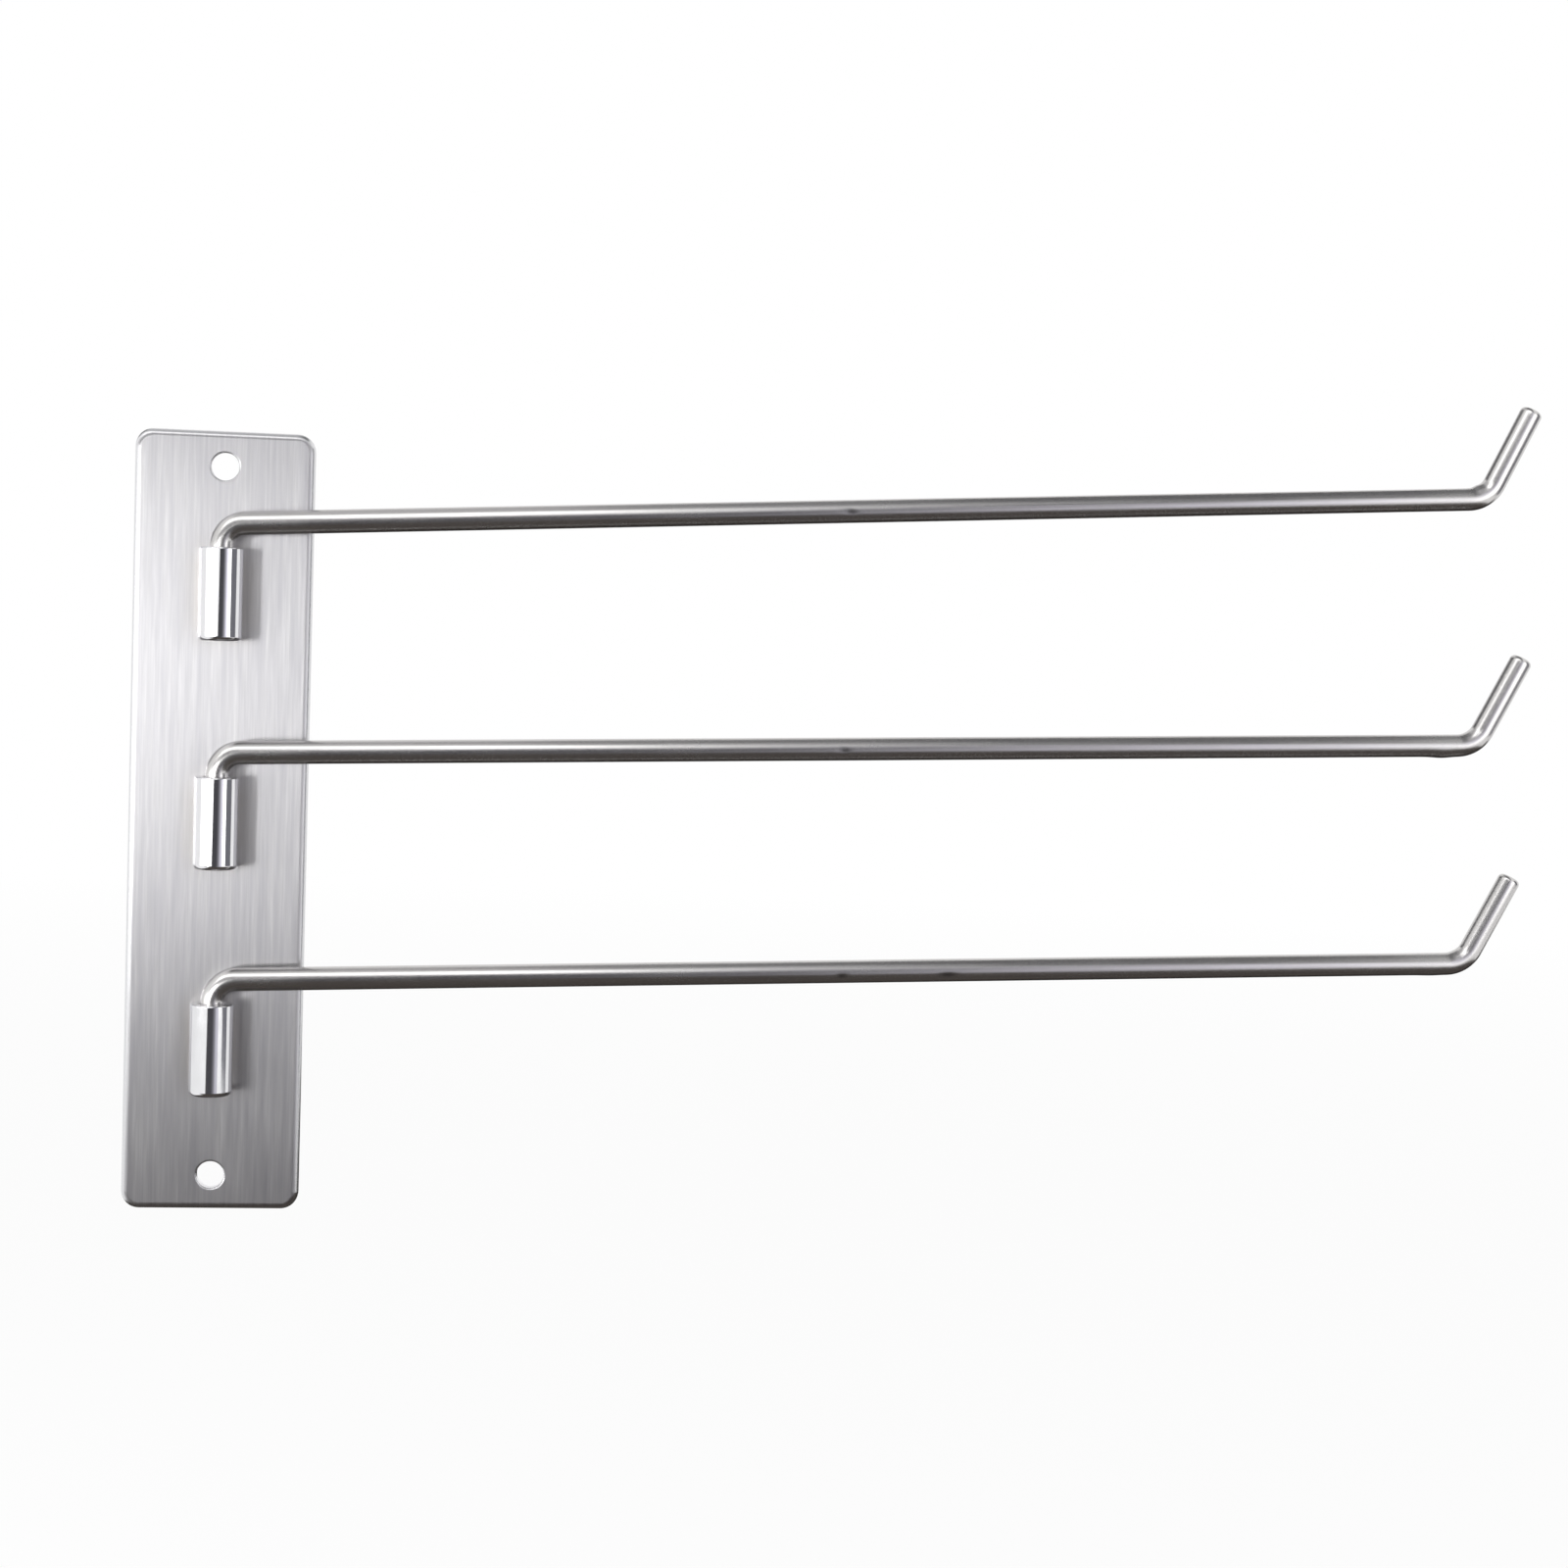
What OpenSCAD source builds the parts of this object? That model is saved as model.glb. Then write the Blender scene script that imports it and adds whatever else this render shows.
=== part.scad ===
// Swing arm towel bar: a brushed steel wall plate with three polished sleeves
// standing on its face. The leg of a bent steel bar drops into each sleeve, so
// that every arm swings out from the wall about its own upright axis.
// Origin: centre of the plate's back face, which lies on the wall. X runs
// along the plate's width, Y points into the wall and Z points up.

/* [Wall plate] */
// Width of the plate
plate_w = 45; // [36:0.5:60]
// Height of the plate
plate_h = 200; // [180:1:260]
// Thickness of the plate
plate_t = 3; // [2.5:0.1:5]
// Radius of the plate's four corners, seen from the front
plate_corner_r = 4.5; // [3:0.1:10]
// Radius of the rounded front edge
plate_edge_r = 1.7; // [0.5:0.1:2]

/* [Screw holes] */
// Diameter of the two screw holes
hole_d = 7; // [4:0.1:9]
// Height from each end of the plate to the centre of its screw hole
hole_inset = 9; // [8:0.5:12]
// Radius of the rolled rim at the front of a screw hole
hole_rim_r = 0.5; // [0.2:0.1:0.8]
// Width of the bevel at the back of a screw hole
hole_back_bevel = 0.3; // [0.1:0.1:0.5]

/* [Sleeves] */
// Outer diameter of a sleeve
sleeve_d = 11; // [10:0.1:16]
// Height of a sleeve
sleeve_h = 23.5; // [18:0.5:32]
// Height from each end of the plate to the centre of the outer sleeve there
sleeve_inset = 42; // [38:0.5:46]
// Height by which all three sleeves sit above the places that the insets give
sleeve_rise = 0.8; // [-3:0.1:3]
// Steel left under the drill point at the bottom of the bore
sleeve_floor = 1.5; // [1:0.1:4]
// Radius of the rounded lower edge of a sleeve
sleeve_foot_r = 1.2; // [0.5:0.1:2]
// Radius of the rounded upper edge of a sleeve
sleeve_lip_r = 0.4; // [0.2:0.05:0.6]
// Width of the bevel at the mouth of the bore
mouth_bevel = 0.5; // [0.2:0.1:0.8]
// Included angle of the drill point at the bottom of the bore
drill_angle = 118; // [100:1:140]

/* [Welds] */
// Width across the two weld beads behind a sleeve
weld_w = 5; // [4:0.1:6]
// Width between the roots of the two beads
weld_root_w = 2.4; // [2:0.1:3]
// Length of sleeve left without weld at each end
weld_inset = 2.5; // [1:0.1:5]

/* [Arms] */
// Diameter of the arm's bar
bar_d = 6; // [4:0.1:6.5]
// Radial clearance of an arm's leg in its bore
running_gap = 0.08; // [0.04:0.01:0.1]
// Length from the sleeve's axis to the corner of the upturned tip
arm_length = 332; // [200:1:450]
// Length of the upturned tip from that corner
tip_length = 26.7; // [20:0.1:45]
// Angle that the tip is bent up from the arm
tip_angle = 61; // [30:1:90]
// Centre-line radius of the bend above the sleeve
neck_bend_r = 6; // [5.5:0.1:10]
// Centre-line radius of the bend at the tip
tip_bend_r = 8; // [6:0.1:12]
// Thinning of the bar's radius where it is bent
bend_draw = 0.02; // [0.01:0.01:0.05]
// Length over which the full bar runs on into a bend
bend_lap = 0.15; // [0.1:0.05:0.2]
// Rise of the top arm above level
top_rise_angle = 3.4; // [0:0.1:5]
// Rise of the middle arm above level
middle_rise_angle = 2; // [0:0.1:5]
// Rise of the bottom arm above level
bottom_rise_angle = 1.8; // [0:0.1:5]
// Straight leg showing between the sleeve's mouth and the bend
neck_gap = 0.3; // [0.2:0.1:2]
// Clearance between the leg's end and the shoulder at the bottom of the bore
seat_gap = 0.1; // [0.05:0.05:0.3]
// Width of the bevel at the leg's end
leg_bevel = 0.6; // [0.2:0.1:1]
// Radius of the rounded edge at the tip's end
tip_edge_r = 0.9; // [0.3:0.1:1.5]

/* [Hidden] */
$fn = 96;
// Overrun of every cut past the face that it opens
overrun = 1;
hole_r = hole_d / 2;
hole_z = plate_h / 2 - hole_inset;
// The sleeves stand on the plate's face, so their axes lie a radius in front of it
sleeve_r = sleeve_d / 2;
axis_y = -plate_t - sleeve_r;
// Height of the foot of each sleeve: the middle one stands midway between the others
sleeve_pitch = plate_h / 2 - sleeve_inset;
middle_z = sleeve_rise - sleeve_h / 2;
top_z = middle_z + sleeve_pitch;
bottom_z = middle_z - sleeve_pitch;
bar_r = bar_d / 2;
bore_r = bar_r + running_gap;
drill_point_h = bore_r / tan(drill_angle / 2);
bore_depth = sleeve_h - sleeve_floor - drill_point_h;
// The leg runs from just above the shoulder of the bore to just above its mouth
leg_start_z = sleeve_h - bore_depth + seat_gap;
leg_length = sleeve_h + neck_gap - leg_start_z;

// What a rounding takes off an outer corner: the arc's centre is the origin and
// the corner points away from it, towards +X and +Y
module corner_waste(r) {
    difference() {
        square(r + overrun);
        circle(r);
    }
}

// The plate's edge in section: x runs outwards from the centre of the corner's
// arc and y from the back face to the front face
module edge_section() {
    difference() {
        square([plate_corner_r, plate_t]);
        translate([plate_corner_r - plate_edge_r, plate_t - plate_edge_r])
            corner_waste(plate_edge_r);
    }
}

// A quarter of the plate, lying on its back face with the corner towards +X and +Y
module plate_quarter() {
    straight_w = plate_w / 2 - plate_corner_r;
    straight_h = plate_h / 2 - plate_corner_r;
    cube([straight_w, straight_h, plate_t]);
    translate([straight_w, straight_h, 0])
        rotate([90, 0, 0]) linear_extrude(straight_h) edge_section();
    translate([0, straight_h, 0])
        rotate([90, 0, 90]) linear_extrude(straight_w) edge_section();
    translate([straight_w, straight_h, 0])
        rotate_extrude(angle = 90) edge_section();
}

// One punched hole, with the rolled rim that the punch leaves at the front
module screw_hole() {
    translate([0, 0, -overrun])
        cylinder(r = hole_r, h = plate_t + 2 * overrun);
    rotate_extrude()
        translate([hole_r + hole_rim_r, plate_t - hole_rim_r])
            mirror([1, 0]) corner_waste(hole_rim_r);
    cylinder(r1 = hole_r + hole_back_bevel, r2 = hole_r, h = hole_back_bevel);
}

module back_plate() {
    color("silver")
        rotate([90, 0, 0])
            difference() {
                for (turned_x = [0, 1], turned_y = [0, 1])
                    mirror([turned_x, 0, 0]) mirror([0, turned_y, 0]) plate_quarter();
                for (end = [-1, 1])
                    translate([0, end * hole_z, 0]) screw_hole();
            }
}

// The turned outside of a sleeve in half section, with its foot at y = 0
module sleeve_section() {
    difference() {
        square([sleeve_r, sleeve_h]);
        translate([sleeve_r - sleeve_foot_r, sleeve_foot_r])
            mirror([0, 1]) corner_waste(sleeve_foot_r);
        translate([sleeve_r - sleeve_lip_r, sleeve_h - sleeve_lip_r])
            corner_waste(sleeve_lip_r);
    }
}

// The bore, drilled from the sleeve's top and bevelled at its mouth
module bore_cut() {
    shoulder_z = sleeve_h - bore_depth;
    translate([0, 0, shoulder_z]) cylinder(r = bore_r, h = bore_depth + overrun);
    translate([0, 0, shoulder_z - drill_point_h])
        cylinder(r1 = 0, r2 = bore_r, h = drill_point_h);
    translate([0, 0, sleeve_h - mouth_bevel])
        cylinder(r1 = bore_r, r2 = bore_r + mouth_bevel, h = mouth_bevel);
}

module sleeve(foot_z) {
    color("gainsboro")
        translate([0, axis_y, foot_z])
            difference() {
                rotate_extrude() sleeve_section();
                bore_cut();
            }
}

// Two beads in the narrow wedges between a sleeve's back and the plate's face
module weld_beads(foot_z) {
    bead_w = (weld_w - weld_root_w) / 2;
    color("darkgray")
        translate([0, axis_y, foot_z + weld_inset])
            for (mirrored = [0, 1])
                mirror([mirrored, 0, 0])
                    linear_extrude(sleeve_h - 2 * weld_inset)
                        difference() {
                            translate([weld_root_w / 2, 0]) square([bead_w, sleeve_r]);
                            circle(sleeve_r);
                        }
}

// The bar is drawn as a chain: each length starts at the origin and heads along
// +X, and its children carry on from its end. Straight lengths lap into the bends.
module bar_leg() {
    rotate([0, 90, 0])
        rotate_extrude()
            polygon([
                [0, 0],
                [bar_r - leg_bevel, 0],
                [bar_r, leg_bevel],
                [bar_r, leg_length + bend_lap],
                [0, leg_length + bend_lap]
            ]);
    translate([leg_length, 0, 0]) children();
}

module bar_straight(length) {
    translate([-bend_lap, 0, 0])
        rotate([0, 90, 0]) cylinder(r = bar_r, h = length + 2 * bend_lap);
    translate([length, 0, 0]) children();
}

// A bend to the left by a positive angle, or to the right by a negative one
module bar_bend(bend_r, turn) {
    side = sign(turn);
    translate([0, side * bend_r, 0])
        rotate([0, 0, side > 0 ? -90 : 90 + turn])
            rotate_extrude(angle = abs(turn))
                translate([bend_r, 0]) circle(bar_r - bend_draw);
    translate([bend_r * sin(abs(turn)), side * bend_r * (1 - cos(turn)), 0])
        rotate([0, 0, turn]) children();
}

module bar_tip(length) {
    lapped = length + bend_lap;
    translate([-bend_lap, 0, 0])
        rotate([0, 90, 0])
            rotate_extrude()
                difference() {
                    square([bar_r, lapped]);
                    translate([bar_r - tip_edge_r, lapped - tip_edge_r])
                        corner_waste(tip_edge_r);
                }
}

// One arm: up out of the sleeve, bent over the plate's face, along the wall and
// up again at the tip. Its lengths are laid out between the corners of its bends.
module swing_arm(foot_z, rise_angle) {
    neck_turn = 90 - rise_angle;
    neck_tangent = neck_bend_r * tan(neck_turn / 2);
    tip_tangent = tip_bend_r * tan(tip_angle / 2);
    color("lightgray")
        translate([0, axis_y, foot_z + leg_start_z])
            rotate([90, 0, 0]) rotate([0, 0, 90])
                bar_leg()
                bar_bend(neck_bend_r, -neck_turn)
                bar_straight(arm_length - neck_tangent - tip_tangent)
                bar_bend(tip_bend_r, tip_angle)
                bar_tip(tip_length - tip_tangent);
}

back_plate();
sleeve(top_z);  // sleeve_top
sleeve(middle_z);  // sleeve_middle
sleeve(bottom_z);  // sleeve_bottom
weld_beads(top_z);  // weld_top
weld_beads(middle_z);  // weld_middle
weld_beads(bottom_z);  // weld_bottom
swing_arm(top_z, top_rise_angle);  // arm_top
swing_arm(middle_z, middle_rise_angle);  // arm_middle
swing_arm(bottom_z, bottom_rise_angle);  // arm_bottom
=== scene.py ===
import math
from collections import namedtuple

import bmesh
import bpy
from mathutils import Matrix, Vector


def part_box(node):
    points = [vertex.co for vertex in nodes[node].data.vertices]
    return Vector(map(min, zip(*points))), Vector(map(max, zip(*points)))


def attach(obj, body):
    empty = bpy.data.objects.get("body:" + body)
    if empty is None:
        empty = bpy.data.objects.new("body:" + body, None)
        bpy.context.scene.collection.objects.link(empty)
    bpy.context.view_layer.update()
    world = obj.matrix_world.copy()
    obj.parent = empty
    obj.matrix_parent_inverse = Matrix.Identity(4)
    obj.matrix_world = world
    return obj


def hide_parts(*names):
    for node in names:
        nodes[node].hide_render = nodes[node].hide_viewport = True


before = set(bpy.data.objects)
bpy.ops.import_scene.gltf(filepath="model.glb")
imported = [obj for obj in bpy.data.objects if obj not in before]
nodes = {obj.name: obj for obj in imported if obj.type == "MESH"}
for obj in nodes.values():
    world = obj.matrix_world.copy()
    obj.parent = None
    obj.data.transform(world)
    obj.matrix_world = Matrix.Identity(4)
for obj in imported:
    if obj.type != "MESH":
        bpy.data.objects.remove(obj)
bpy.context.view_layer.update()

# Back plate
# A stamped and brushed plate of 3 mm stainless steel with a rolled front edge and two punched
# screw holes. It is screwed flat to the wall and carries the three sleeves on its face.
mm = 0.001
sleeve_names = ("top", "middle", "bottom")
# The finishing belt left scratches under 0.1 mm wide, drawn 0.5 mm wide here so that they show,
# and broader streaks among them. Each size is given along x, y and z.
scratch_size = (0.5 * mm, 0.5 * mm, 14 * mm)
scratch_depth = 0.01 * mm
streak_size = (1.5 * mm, 1.5 * mm, 34 * mm)
# The heat tint and the painted shade beside each sleeve are at their full strength up to 7 mm
# short of a sleeve's ends and 3 mm to either side of its axis. They are gone 5 mm past those ends
# and 12 mm to either side.
tint_and_shade_short_of_end = 7 * mm
tint_and_shade_past_end = 5 * mm
tint_and_shade_full_x = 3 * mm
tint_and_shade_gone_x = 12 * mm


def linear(hex_colour):
    """An sRGB hex colour as the linear RGBA that the shaders take."""
    shares = [int(hex_colour[i:i + 2], 16) / 255 for i in (1, 3, 5)]
    return (*(s / 12.92 if s <= 0.04045 else ((s + 0.055) / 1.055) ** 2.4 for s in shares), 1)


def add_node(material, kind, settings=None, links=None):
    """Adds one shader node, sets its sockets and properties, and links what feeds it."""
    tree = material.node_tree
    node = tree.nodes.new(kind)
    for name, value in (settings or {}).items():
        if isinstance(name, int) or name in node.inputs:
            node.inputs[name].default_value = value
        else:
            setattr(node, name, value)
    for name, source in (links or {}).items():
        tree.links.new(source, node.inputs[name])
    return node


def new_material(name):
    """An empty node material."""
    material = bpy.data.materials.new(name)
    material.use_nodes = True
    material.node_tree.nodes.clear()
    return material


def finish_metal(material, settings, links):
    """Ends a material with its metal shader. The IOR stays at its default."""
    shader = add_node(material, "ShaderNodeBsdfPrincipled", {"Metallic": 1, **settings}, links)
    add_node(material, "ShaderNodeOutputMaterial", links={"Surface": shader.outputs["BSDF"]})


def stretched_noise(material, coordinates, period, detail=3, seed=0):
    """A noise whose grains measure period, in metres, along x, y and z."""
    scale = [1 / length for length in period]
    mapped = add_node(material, "ShaderNodeMapping", {"Scale": scale, "Location": (seed,) * 3},
                      {"Vector": coordinates})
    noise = add_node(material, "ShaderNodeTexNoise", {"Scale": 1, "Detail": detail},
                     {"Vector": mapped.outputs["Vector"]})
    return noise.outputs["Fac"]


# Nearly all of a noise lies between these two values
noise_span = (0.3, 0.7)


def remapped(material, value, low, high, from_low=0, from_high=1, ease="LINEAR"):
    """A value turned from one range to another, held at both ends."""
    settings = {"From Min": from_low, "From Max": from_high, "To Min": low, "To Max": high,
                "interpolation_type": ease}
    return add_node(material, "ShaderNodeMapRange", settings, {"Value": value}).outputs["Result"]


def mixed_colour(material, factor, first, second):
    """One colour turning into another. Either may be a hex colour or a socket. The mix node
    takes its factor at input 0 and its two colours at inputs 6 and 7."""
    settings, links = {"data_type": "RGBA"}, {0: factor}
    for socket, colour in ((6, first), (7, second)):
        if isinstance(colour, str):
            settings[socket] = linear(colour)
        else:
            links[socket] = colour
    return add_node(material, "ShaderNodeMix", settings, links).outputs[2]


def heat_tint_and_painted_shade(material, place):
    """How strongly the plate is tinted and darkened beside each sleeve, partly by the welds' heat
    and partly as painted shade cast by the sleeve: most beside it, and softly fading.
    """
    across = add_node(material, "ShaderNodeMath", {"operation": "ABSOLUTE"}, {0: place["X"]})
    strongest = None
    for name in sleeve_names:
        low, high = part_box("sleeve_" + name)
        middle_z, half_z = (low.z + high.z) / 2, (high.z - low.z) / 2
        offset = add_node(material, "ShaderNodeMath", {"operation": "SUBTRACT", 1: middle_z},
                          {0: place["Z"]})
        beyond_z = add_node(material, "ShaderNodeMath", {"operation": "ABSOLUTE"},
                            {0: offset.outputs[0]})
        fade_z = remapped(material, beyond_z.outputs[0], 1, 0, half_z - tint_and_shade_short_of_end,
                          half_z + tint_and_shade_past_end, "SMOOTHSTEP")
        strongest = fade_z if strongest is None else add_node(
            material, "ShaderNodeMath", {"operation": "MAXIMUM"},
            {0: strongest, 1: fade_z}).outputs[0]
    fade_x = remapped(material, across.outputs[0], 1, 0, tint_and_shade_full_x, tint_and_shade_gone_x, "SMOOTHSTEP")
    return add_node(material, "ShaderNodeMath", {"operation": "MULTIPLY"},
                    {0: strongest, 1: fade_x}).outputs[0]


def brushed_plate_steel():
    """Stainless steel sheet, linished with a belt along its height. The belt's scratches run
    upright, so highlights spread sideways and the tone changes softly from top to bottom."""
    material = new_material("brushed_stainless_sheet")
    place = add_node(material, "ShaderNodeTexCoord")
    spot = place.outputs["Object"]
    scratches = stretched_noise(material, spot, scratch_size, detail=4)
    streaks = stretched_noise(material, spot, streak_size, seed=3)
    grain = mixed_colour(material, remapped(material, scratches, 0, 1, *noise_span),
                         "#bbbabb", "#cfcecf")
    streaked = mixed_colour(material, remapped(material, streaks, 0, 0.9, *noise_span),
                            grain, "#b2b1b5")
    axes = add_node(material, "ShaderNodeSeparateXYZ", links={"Vector": spot})
    tint = heat_tint_and_painted_shade(material, axes.outputs)
    # The plate is warmed and darkened beside each sleeve. This is partly the welds' heat tint and
    # partly painted shade cast by the sleeve
    tinted = mixed_colour(material, remapped(material, tint, 0, 0.5), streaked, "#9c958a")
    # The rolled edge and the holes' rims, where the surface turns away from flat, are rubbed
    # smoother than the face. Their lighter colour there is a painted highlight
    facing = add_node(material, "ShaderNodeSeparateXYZ", links={"Vector": place.outputs["Normal"]})
    flatness = add_node(material, "ShaderNodeMath", {"operation": "ABSOLUTE"},
                        {0: facing.outputs["Y"]})
    edge = remapped(material, flatness.outputs[0], 1, 0, from_low=0.75, from_high=0.97)
    rough_face = remapped(material, streaks, 0.378, 0.342, *noise_span)
    # The mix node takes its two plain numbers at inputs 2 and 3
    edge_roughness = 0.24
    roughness = add_node(material, "ShaderNodeMix", {3: edge_roughness}, {0: edge, 2: rough_face})
    # Painted highlight: the rims get a lighter colour than the face
    colour = mixed_colour(material, edge, tinted, "#dedee0")
    bump = add_node(material, "ShaderNodeBump", {"Strength": 0.12, "Distance": scratch_depth},
                    {"Height": scratches})
    across = add_node(material, "ShaderNodeCombineXYZ", {"X": 1})
    finish_metal(material, {"Anisotropic": 0.8},
                 {"Base Color": colour, "Roughness": roughness.outputs[0],
                  "Normal": bump.outputs["Normal"], "Tangent": across.outputs["Vector"]})
    return material


nodes["back_plate"].material_slots[0].material = brushed_plate_steel()

# Sleeves
# Three sleeves turned from 11 mm stainless bar, drilled from above and polished to a mirror.
# Each stands upright on the plate's face and is welded to it along its back.

# The turning rings are about 0.05 mm apart, and are drawn 0.4 mm apart so that they show. The
# polishing wheel left faint smears.
ring_size = (40 * mm, 40 * mm, 0.4 * mm)
ring_depth = 0.004 * mm
smear_size = (3 * mm, 3 * mm, 6 * mm)


def polished_sleeve_steel():
    """Turned and mirror-polished stainless steel. Very fine rings are left round the sleeve, so
    reflections smear a little up and down it."""
    material = new_material("polished_stainless_turning")
    place = add_node(material, "ShaderNodeTexCoord")
    spot = place.outputs["Object"]
    rings = stretched_noise(material, spot, ring_size, detail=2)
    smears = stretched_noise(material, spot, smear_size, seed=5)
    colour = mixed_colour(material, smears, "#e2e2e4", "#ececee")
    roughness = remapped(material, smears, 0.05, 0.1, *noise_span)
    bump = add_node(material, "ShaderNodeBump", {"Strength": 0.15, "Distance": ring_depth},
                    {"Height": rings})
    upright = add_node(material, "ShaderNodeCombineXYZ", {"Z": 1})
    finish_metal(material, {"Anisotropic": 0.5},
                 {"Base Color": colour, "Roughness": roughness,
                  "Normal": bump.outputs["Normal"], "Tangent": upright.outputs["Vector"]})
    return material


sleeve_steel = polished_sleeve_steel()
for name in sleeve_names:
    nodes["sleeve_" + name].material_slots[0].material = sleeve_steel

# Welds
# Two beads of weld metal in the wedges behind each sleeve hold it to the plate. They were laid
# in short overlapping pools, and keep the ripples of those pools and a little heat tint.
bead_root_x = 1.2 * mm
bead_width = 1.5 * mm
pool_pitch = 1.3 * mm
pool_swell = 0.16 * mm
# The share of a bead's length over which it runs thin at each end
bead_taper = 1 / 8
# Steps of the bead's mesh along its length and up its bulging side
bead_rings = 120
bead_sides = 10
tint_patch_size = (0.9 * mm, 0.9 * mm, 2.5 * mm)
pit_size = (0.2 * mm, 0.2 * mm, 0.2 * mm)
pit_depth = 0.02 * mm


def new_piece(name, vertices, faces, material):
    """A smooth-shaded mesh object in the row frame."""
    mesh = bpy.data.meshes.new(name)
    mesh.from_pydata(vertices, [], faces)
    mesh.materials.append(material)
    for face in mesh.polygons:
        face.use_smooth = True
    piece = bpy.data.objects.new(name, mesh)
    bpy.context.scene.collection.objects.link(piece)
    return piece


def tinted_weld_metal():
    """Weld metal, left as laid: greyer than the sheet, with straw and blue heat tint."""
    material = new_material("tinted_weld_metal")
    spot = add_node(material, "ShaderNodeTexCoord").outputs["Object"]
    patches = stretched_noise(material, spot, tint_patch_size)
    pits = stretched_noise(material, spot, pit_size, detail=2, seed=7)
    patchy = remapped(material, patches, 0, 1, from_low=0.35, from_high=0.65)
    tinted = mixed_colour(material, patchy, "#a39c90", "#8f9299")
    roughness = remapped(material, pits, 0.3, 0.5)
    bump = add_node(material, "ShaderNodeBump", {"Strength": 0.4, "Distance": pit_depth},
                    {"Height": pits})
    finish_metal(material, {}, {"Base Color": tinted, "Roughness": roughness,
                                "Normal": bump.outputs["Normal"]})
    return material


weld_metal = tinted_weld_metal()
plate_face_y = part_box("back_plate")[0].y


def bead_section(side, sleeve_axis_y, sleeve_r, swell):
    """The bead's outline, from the plate's face round its bulge to the sleeve's back."""
    outer_x = bead_root_x + bead_width + swell
    outline = [(side * bead_root_x, plate_face_y), (side * outer_x, plate_face_y)]
    sleeve_y = sleeve_axis_y + math.sqrt(sleeve_r ** 2 - outer_x ** 2)
    for i in range(1, bead_sides):
        share = i / bead_sides
        y = plate_face_y + (sleeve_y - plate_face_y) * share
        outline.append((side * (outer_x + swell * math.sin(math.pi * share)), y))
    outline.append((side * outer_x, sleeve_y))
    inner_y = sleeve_axis_y + math.sqrt(sleeve_r ** 2 - bead_root_x ** 2)
    outline.append((side * bead_root_x, inner_y))
    return outline


def weld_beads(name):
    """Both beads behind one sleeve, as one piece."""
    low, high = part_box("weld_" + name)
    sleeve_low, sleeve_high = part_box("sleeve_" + name)
    sleeve_r = (sleeve_high.x - sleeve_low.x) / 2
    sleeve_axis_y = (sleeve_low.y + sleeve_high.y) / 2
    vertices, faces = [], []
    for side in (-1, 1):
        first = len(vertices)
        for i in range(bead_rings + 1):
            share = i / bead_rings
            z = low.z + (high.z - low.z) * share
            phase = (z - low.z) / pool_pitch % 1
            # A pool swells at once and tapers off, and the bead runs thin at both ends
            taper = min(1, share / bead_taper, (1 - share) / bead_taper)
            swell = pool_swell * (1 - phase) * taper
            outline = bead_section(side, sleeve_axis_y, sleeve_r, swell)
            vertices += [(x, y, z) for x, y in outline]
        count = len(outline)
        for i in range(bead_rings):
            for j in range(count):
                a = first + i * count + j
                b = first + i * count + (j + 1) % count
                face = (a, b, b + count, a + count)
                faces.append(face if side > 0 else face[::-1])
        ends = [tuple(range(first, first + count)),
                tuple(range(first + bead_rings * count, first + (bead_rings + 1) * count))]
        faces.append(ends[0][::-1] if side > 0 else ends[0])
        faces.append(ends[1] if side > 0 else ends[1][::-1])
    return new_piece("rippled_weld_" + name, vertices, faces, weld_metal)


for name in sleeve_names:
    weld = weld_beads(name)
    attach(weld, "wall_mount")
    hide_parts("weld_" + name)

# Arms
# Three arms of 6 mm stainless bar, drawn and satin polished along its length. A press bent the
# neck and the tip, and left small marks there and where its clamp held the bar.
bar_r = 3 * mm
leg_bevel = 0.6 * mm
neck_gap = 0.3 * mm
neck_bend_r = 6 * mm
tip_bend_r = 8 * mm
tip_bend_angle = math.radians(61)
arm_length = 332 * mm
tip_length = 26.68 * mm
tip_edge_r = 1.3 * mm
rise_angles = {"top": 3.4, "middle": 2.0, "bottom": 1.8}
# Steps of the bar's mesh round it, along its straights, round each bend and over the tip's edge
bar_sides = 64
straight_step = 0.8 * mm
bend_steps = 40
tip_edge_steps = 10
# Metal that the press pushed up on the tip bend's inner side, more on one arm than on another.
# Its place and its width are shares of the bend's length.
pinch_heights = {"top": 0.38 * mm, "middle": 0.06 * mm, "bottom": 0.16 * mm}
pinch_share = 0.36
pinch_width_share = 0.26
# Metal that it left proud under the bar just before the tip bend
heel_heights = {"top": 0.02 * mm, "middle": 0.30 * mm, "bottom": 0.12 * mm}
heel_lead = 4.5 * mm
heel_width = 3 * mm
neck_flattening = 0.12 * mm
# Each clamp nick's distance from the sleeve's axis, its angle above the bar's front line and
# its length
clamp_nicks = {"top": [(159.5 * mm, -2, 1.3 * mm)], "middle": [(160.1 * mm, -3, 1.3 * mm)],
               "bottom": [(161.7 * mm, -14, 1.3 * mm), (189.8 * mm, -15, 2.2 * mm)]}
nick_depth = 0.09 * mm
nick_height = 0.6 * mm
# Beyond this many of its lengths a nick has faded out
nick_reach = 3
# Polishing lines are under 0.1 mm wide, and are drawn 0.6 mm wide so that they show. Clouds in
# the polish lie over them. These sizes are given round the bar and along it.
line_size = (0.6 * mm, 60 * mm, 1)
line_depth = 0.005 * mm
cloud_size = (5 * mm, 22 * mm, 1)
# Points of the mesh that are closer than this are made one
merge_distance = 0.0001 * mm

Station = namedtuple("Station", "x z heading radius along")


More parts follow.
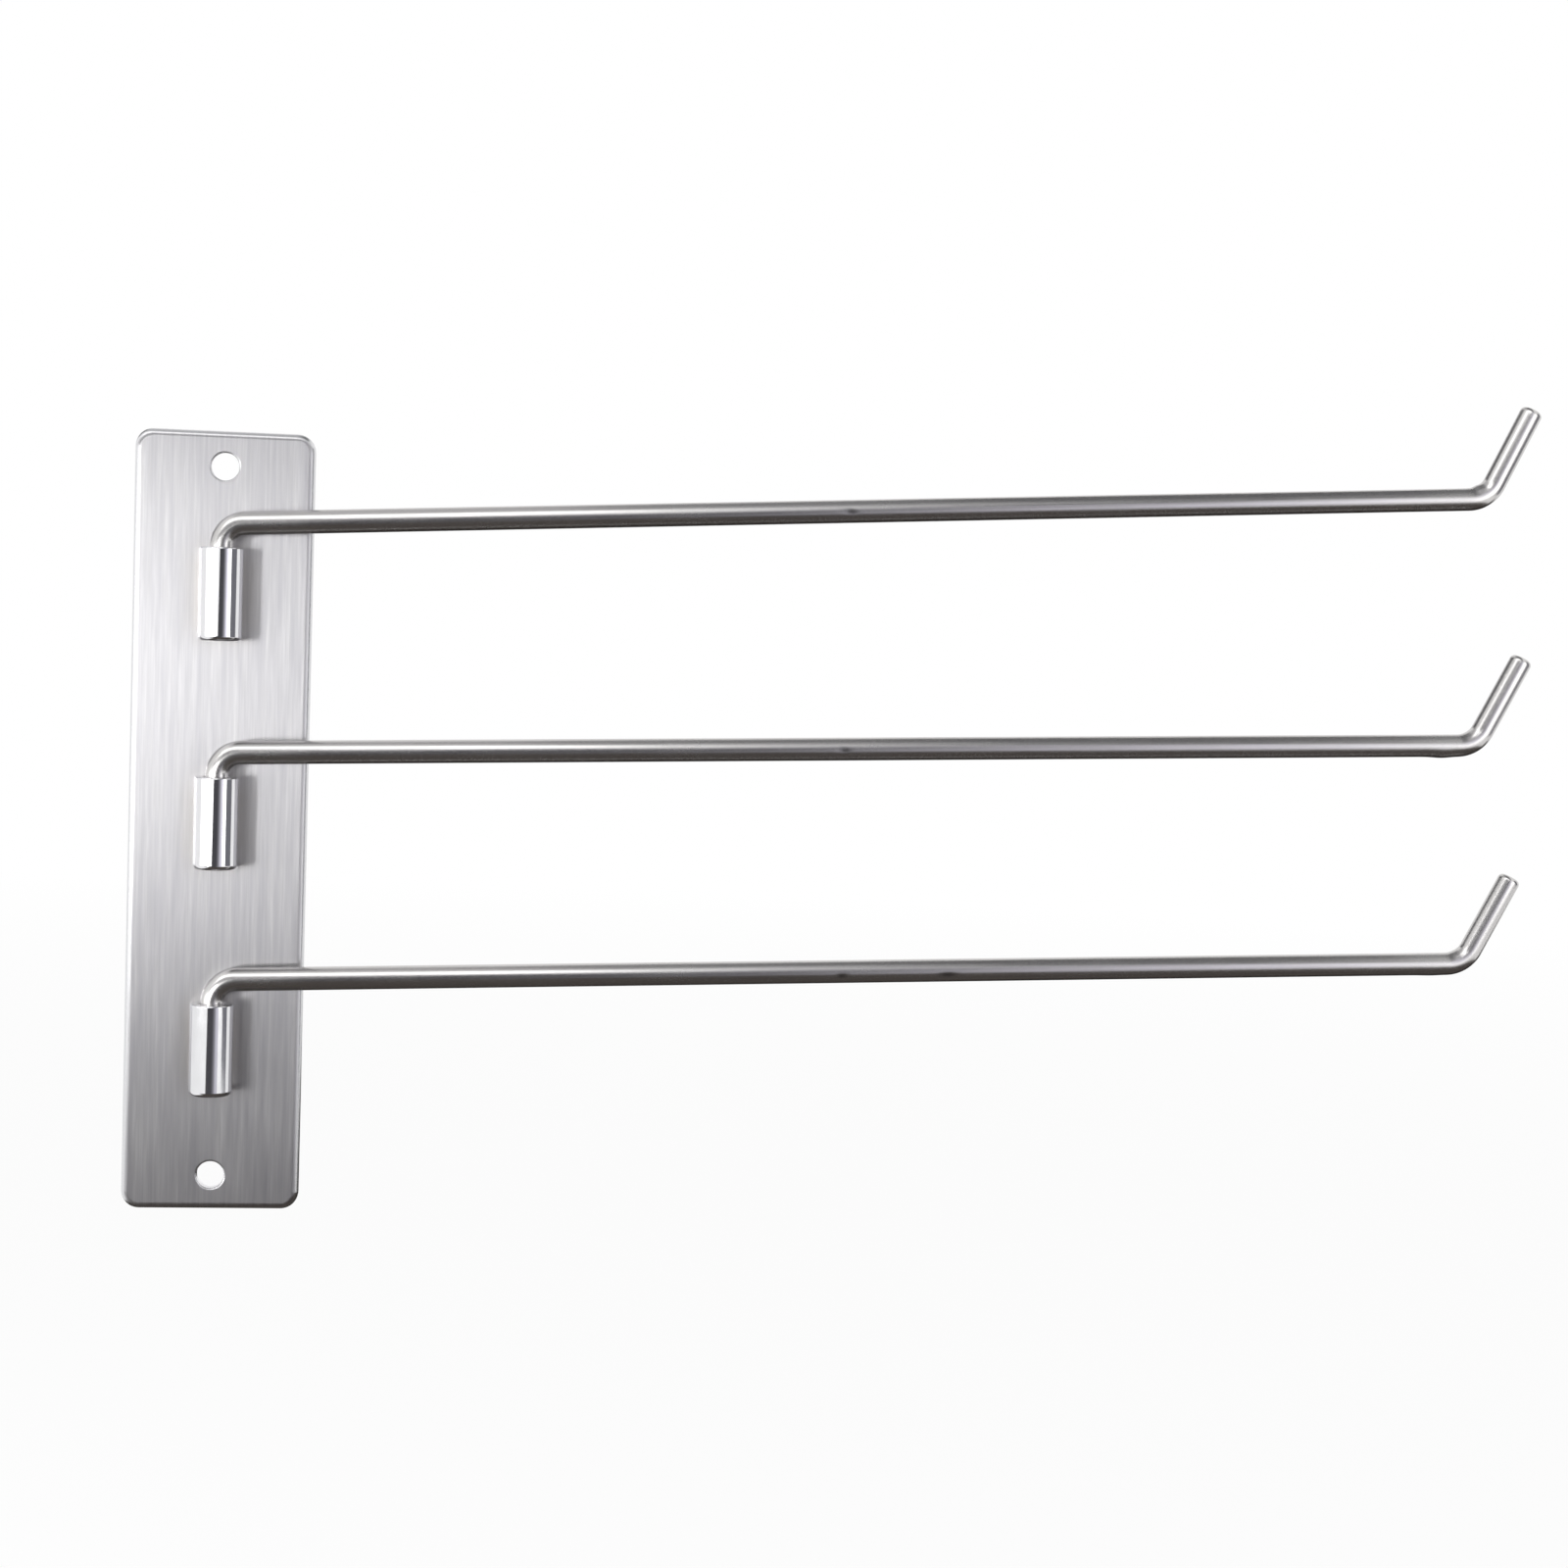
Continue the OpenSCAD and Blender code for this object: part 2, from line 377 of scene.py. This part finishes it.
def satin_bar_steel():
    """Drawn stainless bar, satin polished along its length. The polish runs with the bar, so
    highlights draw out across it into soft-edged bands."""
    material = new_material("satin_stainless_bar")
    layout = add_node(material, "ShaderNodeUVMap", {"uv_map": "around_and_along"}).outputs["UV"]
    lines = stretched_noise(material, layout, line_size, detail=2)
    clouds = stretched_noise(material, layout, cloud_size, seed=11)
    grain = mixed_colour(material, remapped(material, lines, 0, 1, *noise_span),
                         "#cccac9", "#d6d4d3")
    cloudy = remapped(material, clouds, 0, 0.5, from_low=0.4, from_high=0.75)
    clouded = mixed_colour(material, cloudy, grain, "#c6c5c3")
    # The clamp nicks are darkened with painted shade, most at their middles
    nicked = add_node(material, "ShaderNodeAttribute", {"attribute_name": "nicked"}).outputs["Fac"]
    colour = mixed_colour(material, remapped(material, nicked, 0, 0.8), clouded, "#5f5d5a")
    roughness = remapped(material, clouds, 0.22, 0.28, *noise_span)
    bump = add_node(material, "ShaderNodeBump", {"Strength": 0.03, "Distance": line_depth},
                    {"Height": lines})
    around = add_node(material, "ShaderNodeTangent",
                      {"direction_type": "UV_MAP", "uv_map": "around_and_along"})
    finish_metal(material, {"Anisotropic": 0.5},
                 {"Base Color": colour, "Roughness": roughness,
                  "Normal": bump.outputs["Normal"], "Tangent": around.outputs["Tangent"]})
    return material


def bar_path(foot_z, bend_z, rise):
    """Stations along the bar, each with its place in the arm's plane, the bar's heading and
    radius there and the distance along the bar. The distances at which both bends start and end
    come with them. The walk along the bar starts at the leg's foot and heads up."""
    neck_turn = math.pi / 2 - rise
    neck_tangent = neck_bend_r * math.tan(neck_turn / 2)
    tip_tangent = tip_bend_r * math.tan(tip_bend_angle / 2)
    x, z, heading, travelled = 0, foot_z, math.pi / 2, 0
    stations = [Station(x, z, heading, 0, -bar_r),
                Station(x, z, heading, bar_r - leg_bevel, -leg_bevel),
                Station(x, z + leg_bevel, heading, bar_r, leg_bevel)]

    def straight(length, skip=0.0):
        nonlocal x, z, travelled
        count = max(2, round(length / straight_step))
        for i in range(1, count + 1):
            along = length * i / count
            if along > skip:
                stations.append(Station(x + along * math.cos(heading),
                                        z + along * math.sin(heading),
                                        heading, bar_r, travelled + along))
        x += length * math.cos(heading)
        z += length * math.sin(heading)
        travelled += length

    def bend(radius, turn):
        nonlocal x, z, heading, travelled
        side = 1 if turn > 0 else -1
        centre_x = x - side * radius * math.sin(heading)
        centre_z = z + side * radius * math.cos(heading)
        start = travelled
        for i in range(1, bend_steps + 1):
            now = heading + turn * i / bend_steps
            travelled = start + radius * abs(turn) * i / bend_steps
            stations.append(Station(centre_x + side * radius * math.sin(now),
                                    centre_z - side * radius * math.cos(now),
                                    now, bar_r, travelled))
        x, z, heading = stations[-1].x, stations[-1].z, heading + turn
        return start, travelled

    straight(bend_z - foot_z, leg_bevel)
    neck_bend = bend(neck_bend_r, -neck_turn)
    straight(arm_length - neck_tangent - tip_tangent)
    tip_bend = bend(tip_bend_r, tip_bend_angle)
    straight(tip_length - tip_tangent - tip_edge_r)
    for i in range(1, tip_edge_steps + 1):
        angle = math.pi / 2 * i / tip_edge_steps
        along = tip_edge_r * math.sin(angle)
        stations.append(Station(x + along * math.cos(heading), z + along * math.sin(heading),
                                heading, bar_r - tip_edge_r * (1 - math.cos(angle)),
                                travelled + tip_edge_r * angle))
    rim = stations[-1]
    stations.append(rim._replace(radius=0, along=rim.along + bar_r - tip_edge_r))
    return stations, neck_bend, tip_bend


def hump(distance, width):
    """A smooth hump, 1 at its middle and under 0.02 at twice its width from there."""
    return math.exp(-(distance / width) ** 2)


def press_marks(name, neck_bend, tip_bend, along, up):
    """How far the press moved the bar's skin, where up is 1 on top of the bar and -1 under it."""
    moved = 0
    if neck_bend[0] < along < neck_bend[1]:
        share = (along - neck_bend[0]) / (neck_bend[1] - neck_bend[0])
        moved -= neck_flattening * math.sin(math.pi * share) * up ** 2
    bend_length = tip_bend[1] - tip_bend[0]
    pinch = hump(along - tip_bend[0] - pinch_share * bend_length, pinch_width_share * bend_length)
    heel = hump(along - tip_bend[0] + heel_lead, heel_width)
    moved += pinch_heights[name] * pinch * max(0, up) ** 2
    return moved + heel_heights[name] * heel * max(0, -up) ** 2


def clamp_nick(name, x, z, angle):
    """How deep in a clamp nick a place on the bar is, from 0 to 1."""
    deepest = 0
    for nick_x, angle_above_front, nick_length in clamp_nicks[name]:
        girth_from_nick = bar_r * (angle - math.radians(90 - angle_above_front))
        if abs(x - nick_x) < nick_reach * nick_length:
            deepest = max(deepest, hump(x - nick_x, nick_length)
                          * hump(girth_from_nick, nick_height))
    return deepest


def bent_bar(name, material):
    """One arm as a smooth swept tube, unrolled into a map of the way round and the way along."""
    axis_y = (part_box("arm_" + name)[0].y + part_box("arm_" + name)[1].y) / 2
    foot_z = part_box("arm_" + name)[0].z
    bend_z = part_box("sleeve_" + name)[1].z + neck_gap
    stations, neck_bend, tip_bend = bar_path(foot_z, bend_z, math.radians(rise_angles[name]))
    vertices, faces, nicked = [], [], []
    for x, z, heading, radius, along in stations:
        for j in range(bar_sides):
            angle = 2 * math.pi * j / bar_sides
            up, forward = math.cos(angle), math.sin(angle)
            nicked.append(clamp_nick(name, x, z, angle) if radius == bar_r else 0)
            r = radius - nick_depth * nicked[-1]
            r += press_marks(name, neck_bend, tip_bend, along, up)
            vertices.append((x - r * up * math.sin(heading), axis_y - r * forward,
                             z + r * up * math.cos(heading)))
    for i in range(len(stations) - 1):
        for j in range(bar_sides):
            a, b = i * bar_sides + j, i * bar_sides + (j + 1) % bar_sides
            faces.append((a, b, b + bar_sides, a + bar_sides))
    piece = new_piece("satin_arm_" + name, vertices, faces, material)
    piece.data.attributes.new("nicked", "FLOAT", "POINT").data.foreach_set("value", nicked)
    layout = piece.data.uv_layers.new(name="around_and_along")
    girth = 2 * math.pi * bar_r
    for face_number, face in enumerate(piece.data.polygons):
        i, j = divmod(face_number, bar_sides)
        for loop, (di, dj) in zip(face.loop_indices, ((0, 0), (0, 1), (1, 1), (1, 0))):
            layout.data[loop].uv = (girth * (j + dj) / bar_sides, stations[i + di].along)
    # Both ends of the tube are drawn to a point, where all the points of a ring become one
    rounded = bmesh.new()
    rounded.from_mesh(piece.data)
    bmesh.ops.remove_doubles(rounded, verts=rounded.verts, dist=merge_distance)
    bmesh.ops.recalc_face_normals(rounded, faces=rounded.faces)
    rounded.to_mesh(piece.data)
    rounded.free()
    return piece


bar_steel = satin_bar_steel()
for name in sleeve_names:
    arm = bent_bar(name, bar_steel)
    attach(arm, name + "_arm")
    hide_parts("arm_" + name)

# Floor and backdrop
# A pale studio floor well below the object, which holds its soft shadow and runs out into the
# white world round it. The steel reflects both as the camera sees them.
floor_z = -0.30
floor_half = 6
# Within 0.6 m of the object a third of the floor's look is its own paint and shadow, and past
# 2.6 m it is plain white
near_whiteness = 0.68
near_distance = 0.6
white_distance = 2.6
# How bright the white world is as a light, beside the white that the camera and the steel see
world_light = 0.85


def flat_sheet(name, corners, material):
    """A flat sheet that isn't part of the object."""
    sheet = new_piece(name, corners, [tuple(range(len(corners)))], material)
    return sheet


def seen_directly(owner):
    """One where a ray comes from the camera, a reflection or through glass."""
    path = add_node(owner, "ShaderNodeLightPath")
    direct = add_node(owner, "ShaderNodeMath", {"operation": "MAXIMUM"},
                      {0: path.outputs["Is Camera Ray"], 1: path.outputs["Is Glossy Ray"]})
    return add_node(owner, "ShaderNodeMath", {"operation": "MAXIMUM"},
                    {0: direct.outputs[0], 1: path.outputs["Is Transmission Ray"]}).outputs[0]


floor_paint = new_material("pale_floor_paint")
matt = add_node(floor_paint, "ShaderNodeBsdfDiffuse", {"Color": linear("#f6f6f6")})
glow = add_node(floor_paint, "ShaderNodeEmission", {"Strength": 1})
floor_spot = add_node(floor_paint, "ShaderNodeTexCoord").outputs["Object"]
distance = add_node(floor_paint, "ShaderNodeVectorMath", {"operation": "LENGTH"}, {0: floor_spot})
whiteness = remapped(floor_paint, distance.outputs["Value"], near_whiteness, 1,
                     near_distance, white_distance)
share = add_node(floor_paint, "ShaderNodeMath", {"operation": "MULTIPLY"},
                 {0: seen_directly(floor_paint), 1: whiteness})
blend = add_node(floor_paint, "ShaderNodeMixShader", links={
    0: share.outputs[0], 1: matt.outputs["BSDF"], 2: glow.outputs["Emission"]})
add_node(floor_paint, "ShaderNodeOutputMaterial", links={"Surface": blend.outputs[0]})
flat_sheet("floor", [(-floor_half, -floor_half, floor_z), (floor_half, -floor_half, floor_z),
                     (floor_half, floor_half, floor_z), (-floor_half, floor_half, floor_z)],
           floor_paint)

world = bpy.data.worlds.new("white_studio")
bpy.context.scene.world = world
world.use_nodes = True
world.node_tree.nodes.clear()
brightness = remapped(world, seen_directly(world), world_light, 1)
sky = add_node(world, "ShaderNodeBackground", {"Color": linear("#ffffff")},
               {"Strength": brightness})
add_node(world, "ShaderNodeOutputWorld", links={"Surface": sky.outputs["Background"]})

# Lights and cards
# Large soft boxes stand overhead, on the left and on the right. Grey and dark cards between them
# give the steel something to reflect beside the white, as a product photographer sets them.
card_z = -0.29
roof_z = 1.0
# The spill cards hang just above the roof cards
spill_z = 1.02
# The graded card grows light from x = 0.12 to 0.49 m. That gradient leans to the right as it
# rises and is at half strength at the card's foot. A faint light from above reaches its top.
grade_lean = -0.35
grade_x = (0.12, 0.49)
grade_foot_z = (-0.26, 0.02)
grade_foot_strength = (0.5, 1.1)
grade_top_z = (0.10, 0.35)
grade_top_light = (0.08, 0.38)


def soft_box(name, centre, facing, width, height, brightness):
    """An area lamp whose reflection is as bright as brightness, where 1 is white."""
    lamp = bpy.data.lights.new(name, "AREA")
    lamp.shape = "RECTANGLE"
    lamp.size, lamp.size_y = width, height
    lamp.energy = brightness * math.pi * width * height
    box = bpy.data.objects.new(name, lamp)
    bpy.context.scene.collection.objects.link(box)
    box.location = centre
    box.rotation_euler = (Vector(facing) - Vector(centre)).to_track_quat("-Z", "Y").to_euler()


def studio_card(name, corners, hex_colour):
    """A card that only reflections see. It holds its own tone, as a shaded card does. The
    material and its emission node are handed back."""
    paper = new_material(name + "_paper")
    tone = add_node(paper, "ShaderNodeEmission", {"Color": linear(hex_colour), "Strength": 1})
    add_node(paper, "ShaderNodeOutputMaterial", links={"Surface": tone.outputs["Emission"]})
    card = flat_sheet(name, corners, paper)
    for kind in ("camera", "diffuse", "shadow", "transmission", "volume_scatter"):
        setattr(card, "visible_" + kind, False)
    return paper, tone


def front_card(name, y, corners, hex_colour):
    """An upright card in front of the object, facing it. Its corners are given as x and z."""
    studio_card(name, [(x, y, z) for x, z in corners], hex_colour)


def graded_card(name, y, corners):
    """A front card on which light from the right and from above falls. Its tone grows from
    near black to white towards its right end, less so low down, and a little towards its top."""
    paper, tone = studio_card(name, [(x, y, z) for x, z in corners], "#f5f3ff")
    spot = add_node(paper, "ShaderNodeTexCoord").outputs["Object"]
    axes = add_node(paper, "ShaderNodeSeparateXYZ", links={"Vector": spot}).outputs
    leaning = add_node(paper, "ShaderNodeMath", {"operation": "MULTIPLY_ADD", 1: grade_lean},
                       {0: axes["Z"], 2: axes["X"]}).outputs[0]
    rightward = add_node(paper, "ShaderNodeMath", {"operation": "POWER", 1: 2},
                         {0: remapped(paper, leaning, 0, 1, *grade_x)}).outputs[0]
    low_down = remapped(paper, axes["Z"], *grade_foot_strength, *grade_foot_z)
    upward = remapped(paper, axes["Z"], *grade_top_light, *grade_top_z)
    both = add_node(paper, "ShaderNodeMath", {"operation": "MULTIPLY_ADD"},
                    {0: rightward, 1: low_down, 2: upward}).outputs[0]
    paper.node_tree.links.new(both, tone.inputs["Strength"])


def level_card(name, z, corners, hex_colour):
    """A card that lies level. Its corners are given as x and y."""
    studio_card(name, [(x, y, z) for x, y in corners], hex_colour)


# The four lamps
soft_box("overhead_box", centre=(-0.72, -1.50, 1.50), facing=(0, 0, 0.03),
         width=2.1, height=1.35, brightness=1.6)
soft_box("left_box", centre=(-0.74, -0.74, -0.03), facing=(0, 0, -0.03),
         width=1.4, height=0.34, brightness=1.3)
soft_box("left_strip", centre=(-0.50, -0.84, 0.01), facing=(0, 0, 0.01),
         width=0.08, height=0.28, brightness=25.0)
soft_box("right_box", centre=(1.25, -1.10, 0.04), facing=(0.1, 0, 0.1),
         width=1.35, height=0.70, brightness=1.25)

# In front, where the sleeves' and the bars' fronts see them
graded_card("camera_side_card", -0.71,
            [(-0.32, card_z), (0.60, card_z), (0.60, 0.20), (0.50, 0.44), (0.28, 0.44),
             (0.18, 0.29), (-0.02, 0.31), (-0.035, 0.077), (-0.126, -0.045)])
front_card("upper_left_card", -1.05,
           [(-1.3, 0.24), (-0.03, 0.18), (-0.03, 0.72), (-0.30, 0.86), (-0.62, 1.04),
            (-0.78, 1.0), (-1.0, 0.84), (-1.3, 0.6)], "#969698")
front_card("near_tip_card", -0.235, [(0.225, 0.205), (0.33, 0.155), (0.33, 0.20), (0.225, 0.26)],
           "#727274")
# Just above the floor, where the undersides see them
level_card("table_card", card_z,
           [(-0.62, -0.50), (-0.32, -0.71), (0.44, -0.71), (0.46, -0.62), (0.70, -0.62),
            (0.76, 0.08), (-0.21, 0.08), (-0.21, -0.36), (-0.50, -0.36)], "#504b48")
level_card("back_table_card", card_z,
           [(-0.21, 0.08), (1.0, 0.08), (1.0, 1.2), (-0.21, 1.2)], "#373432")
level_card("right_table_card", card_z, [(1.13, -0.62), (1.42, -0.62), (1.42, 0.06), (1.13, 0.06)],
           "#828288")
# Overhead, where the tops see them
level_card("roof_card", roof_z, [(-0.45, -0.46), (0.09, -0.46), (0.09, 0.6), (-0.45, 0.6)],
           "#cececf")
level_card("middle_roof_card", roof_z, [(0.09, -0.50), (0.30, -0.62), (0.30, 0.6), (0.09, 0.6)],
           "#8e8e90")
level_card("left_roof_card", roof_z, [(-0.45, 0.20), (-0.45, 1.3), (-1.6, 1.3), (-1.6, 0.52)],
           "#6a6a6c")
level_card("right_roof_card", roof_z,
           [(0.30, -0.30), (0.74, -1.9), (1.10, -1.9), (0.74, -0.6), (0.74, 0.6), (0.30, 0.6)],
           "#6c6c6e")
level_card("near_spill_card", spill_z,
           [(0.08, -0.55), (0.22, -0.50), (0.62, -2.6), (0.36, -2.6)], "#dcdcde")
level_card("far_spill_card", spill_z,
           [(0.22, -0.50), (0.34, -0.45), (0.88, -2.6), (0.62, -2.6)], "#b8b8ba")
# On the right and behind
studio_card("right_side_card", [(1.43, -0.90, -0.3), (1.39, 0.05, -0.3), (1.39, 0.05, 0.6),
                                (1.43, -0.90, 0.6)], "#76767c")
studio_card("back_card", [(-1.6, 1.3, 0.62), (-0.2, 1.3, 0.62), (-0.2, 1.3, 1.0),
                          (-1.6, 1.3, 1.0)], "#646466")

# Camera
# It stands about 0.69 m in front of the wall, a little above the plate's middle and to its
# right. Its place and its lens were fitted to the object's edges in the photograph.
camera_data = bpy.data.cameras.new("camera")
camera_data.sensor_width = 36
camera_data.lens = 60.75
camera = bpy.data.objects.new("camera", camera_data)
bpy.context.scene.collection.objects.link(camera)
camera.location = (0.05687, -0.69045, 0.06245)
camera.rotation_euler = [math.radians(angle) for angle in (86.024, -2.098, -7.217)]
bpy.context.scene.camera = camera
bpy.context.scene.view_settings.view_transform = "Standard"
